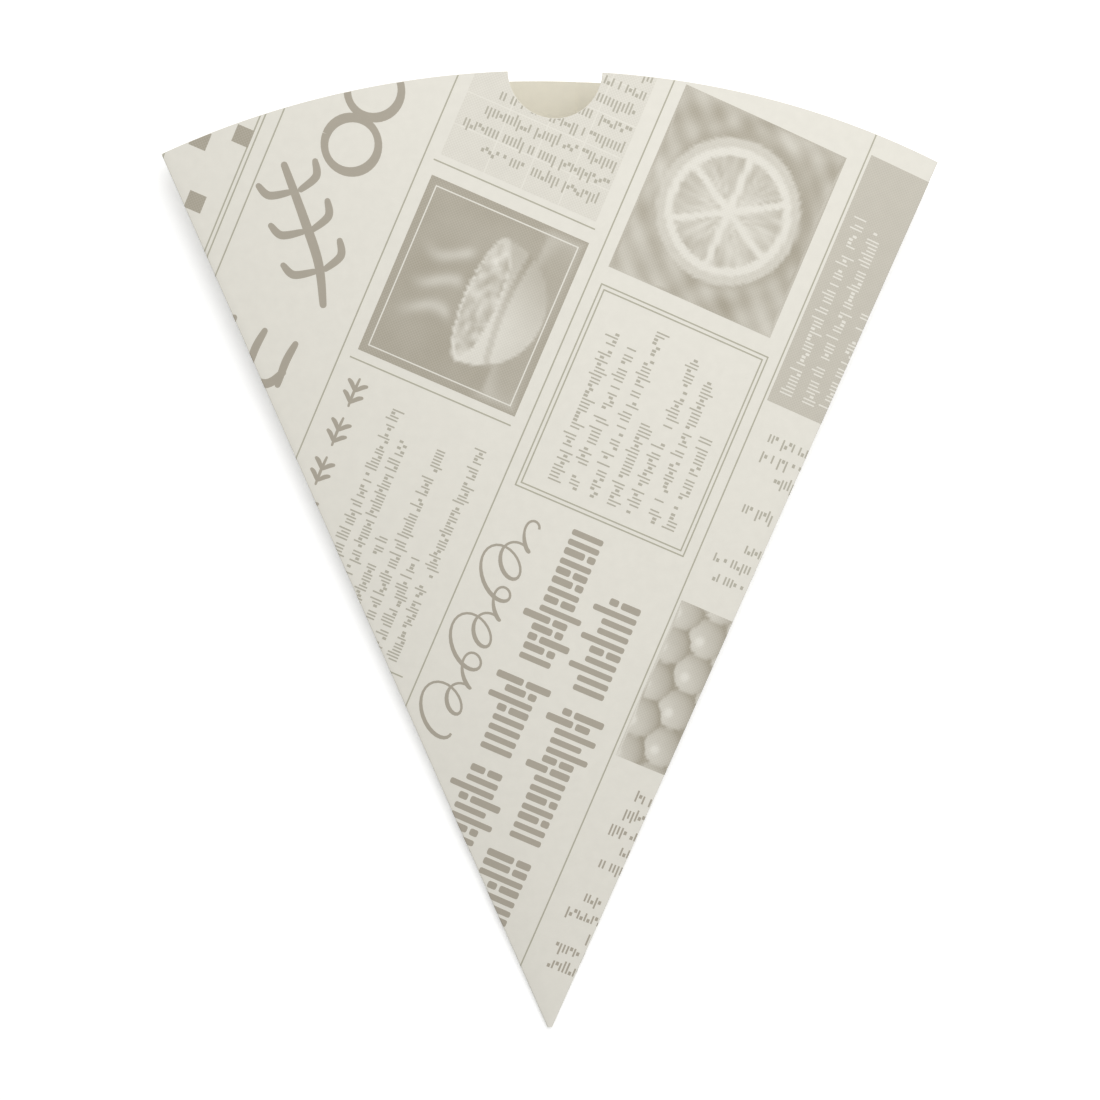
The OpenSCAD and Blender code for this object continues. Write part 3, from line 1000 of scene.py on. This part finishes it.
for i in range(5):
    fields += moved_to([box(i * 7.6 - 1, -1, 7.3, height * CELL + 1)], u, w)
pale += table_text + moved_to([box(-1, y, 40, LINE) for y in (8, 17, 26)], u, w)
u, w, width, height = BAND
fields += moved_to([box(0, 0, width * CELL, height * CELL)], u, w)
pale += moved_to(column_of_text(10, 4.8, 5, BOXED), u + 0.6, w + 0.3)
for i in range(9):
    for j in range(4):
        if (3 * i + 5 * j) % 7 == 0:
            square = box(0, 0, 0.8 * CELL, 0.8 * CELL)
            fields += moved_to([square], SQUARES[0] + 0.88 * i, SQUARES[1] + 0.86 * j)


# %% Tone at a place


def in_picture(p):
    """The picture at a place on the blank, the place from its middle, and how far inside it is."""
    page_x, page_y = on_page(p)
    for u, w, width, height, tone, border in PICTURES:
        x, y = page_x - (u + width / 2) * CELL, page_y - (w + height / 2) * CELL
        inside = min(width * CELL / 2 - abs(x), height * CELL / 2 - abs(y)) - border
        if inside > -EDGE - border:
            return tone, x, y, inside
    return None


def picture_tone(p):
    """The tone at a place on the blank."""
    found = in_picture(p)
    if found:
        tone, x, y, inside = found
        return BORDER_TONE if inside < -EDGE else min(max(tone(x, y), 0), 1)
    w = on_page(p)[1] / CELL
    if w > SQUARES[1] - 1:
        return SQUARE_TONE
    return TABLE_TONE if w > TABLE[1] - 1 else BAND_TONE


def fine_points():
    """Points inside the pictures, in rows along the lines that the card bends on."""
    points = []
    for start, end in cut_lines(fine=6):
        count = round((end - start).length / POINT_GAP)
        points += [start.lerp(end, i / count) for i in range(count)]
    found = [(p, in_picture(p)) for p in points]
    return [tuple(p) for p, picture in found if picture and picture[3] > LINE + LINE_CLEAR]


# %% Print everything
print_ink("bold_print", bold_ink, "headline_print", on_blank(bold))
print_ink("small_text", text_ink, "text_print", on_blank(text))
print_ink("rules_and_frames", rule_ink, "rule_print", on_blank(rules))
print_ink("pictures", picture_ink, "picture_print", on_blank(fields), on_blank(pale),
          fine_points(), picture_tone)


# %% [markdown]
# ## Floor, light and camera
# The cone lies on a plain pale table under soft light, brighter from the right and the mouth. The
# table glows a little where it is seen, which turns it white and leaves the cone's soft shadow, but
# the glow doesn't light the cone.
# The camera looks nearly straight down from 0.6 m, a few centimetres left of the middle.

# %% Stage
floor_mesh = bpy.data.meshes.new("table")
REACH = 3.0
FLOOR_Z = -0.00005
GLOW = 0.3
floor_mesh.from_pydata([(x, y, FLOOR_Z) for x, y in box(-REACH, -REACH, 2 * REACH, 2 * REACH)], [],
                       [(0, 1, 2, 3)])
floor = bpy.data.objects.new("table", floor_mesh)
bpy.context.scene.collection.objects.link(floor)
floor_material = bpy.data.materials.new("white table")
floor_material.use_nodes = True
tree = floor_material.node_tree
tree.nodes.clear()
surface = node(tree, "ShaderNodeBsdfDiffuse", srgb("#f4f4f3"))
glow = node(tree, "ShaderNodeEmission", (1, 1, 1, 1), GLOW)
path = node(tree, "ShaderNodeLightPath")
seen = node(tree, MATH, path.outputs["Is Camera Ray"], path.outputs["Is Glossy Ray"], operation="MAXIMUM")
seen = node(tree, MATH, seen, path.outputs["Is Transmission Ray"], operation="MAXIMUM")
lit = node(tree, "ShaderNodeAddShader", surface, glow)
node(tree, "ShaderNodeOutputMaterial", node(tree, "ShaderNodeMixShader", seen, surface, lit))
floor_mesh.materials.append(floor_material)

# %% Light
WINDOW_SIDE = (0.65, 0.35, 0.67)
DIM_SIDE, BRIGHT_SIDE = 0.41, 0.75
world = bpy.data.worlds.new("soft room")
bpy.context.scene.world = world
world.use_nodes = True
sky = world.node_tree
sky.nodes.clear()
toward = node(sky, "ShaderNodeTexCoord").outputs["Generated"]
toward = node(sky, VECTOR, toward, WINDOW_SIDE, operation="DOT_PRODUCT").outputs[1]
strength = node(sky, "ShaderNodeMapRange", toward, -1, 1, DIM_SIDE, BRIGHT_SIDE)
node(sky, "ShaderNodeOutputWorld", node(sky, "ShaderNodeBackground", (1, 1, 1, 1), strength))

LAMP_PLACE = Vector((0.1, 0.26, 0.4))
lamp_data = bpy.data.lights.new("window on the right", "AREA")
lamp_data.shape, lamp_data.size, lamp_data.energy = "DISK", 0.5, 1.25
lamp = bpy.data.objects.new("window on the right", lamp_data)
lamp.location = LAMP_PLACE
lamp.rotation_euler = (-LAMP_PLACE).to_track_quat("-Z", "Y").to_euler()
bpy.context.scene.collection.objects.link(lamp)

# %% Camera
CAMERA_PLACE = (-0.034065, -0.006965, 0.6)
CAMERA_TURN = (0.0127, -0.0566, 0.0015)
FRAME_PX = 1100
FOCAL_PX = 2646.6
camera_data = bpy.data.cameras.new("camera")
camera_data.sensor_width = 36
camera_data.lens = FOCAL_PX / FRAME_PX * camera_data.sensor_width
camera_data.clip_start = 0.01
camera = bpy.data.objects.new("camera", camera_data)
camera.location = CAMERA_PLACE
camera.rotation_euler = CAMERA_TURN
bpy.context.scene.collection.objects.link(camera)
bpy.context.scene.camera = camera
bpy.context.scene.view_settings.view_transform = "Standard"
print("the camera's lens is", round(camera_data.lens, 1), "mm")
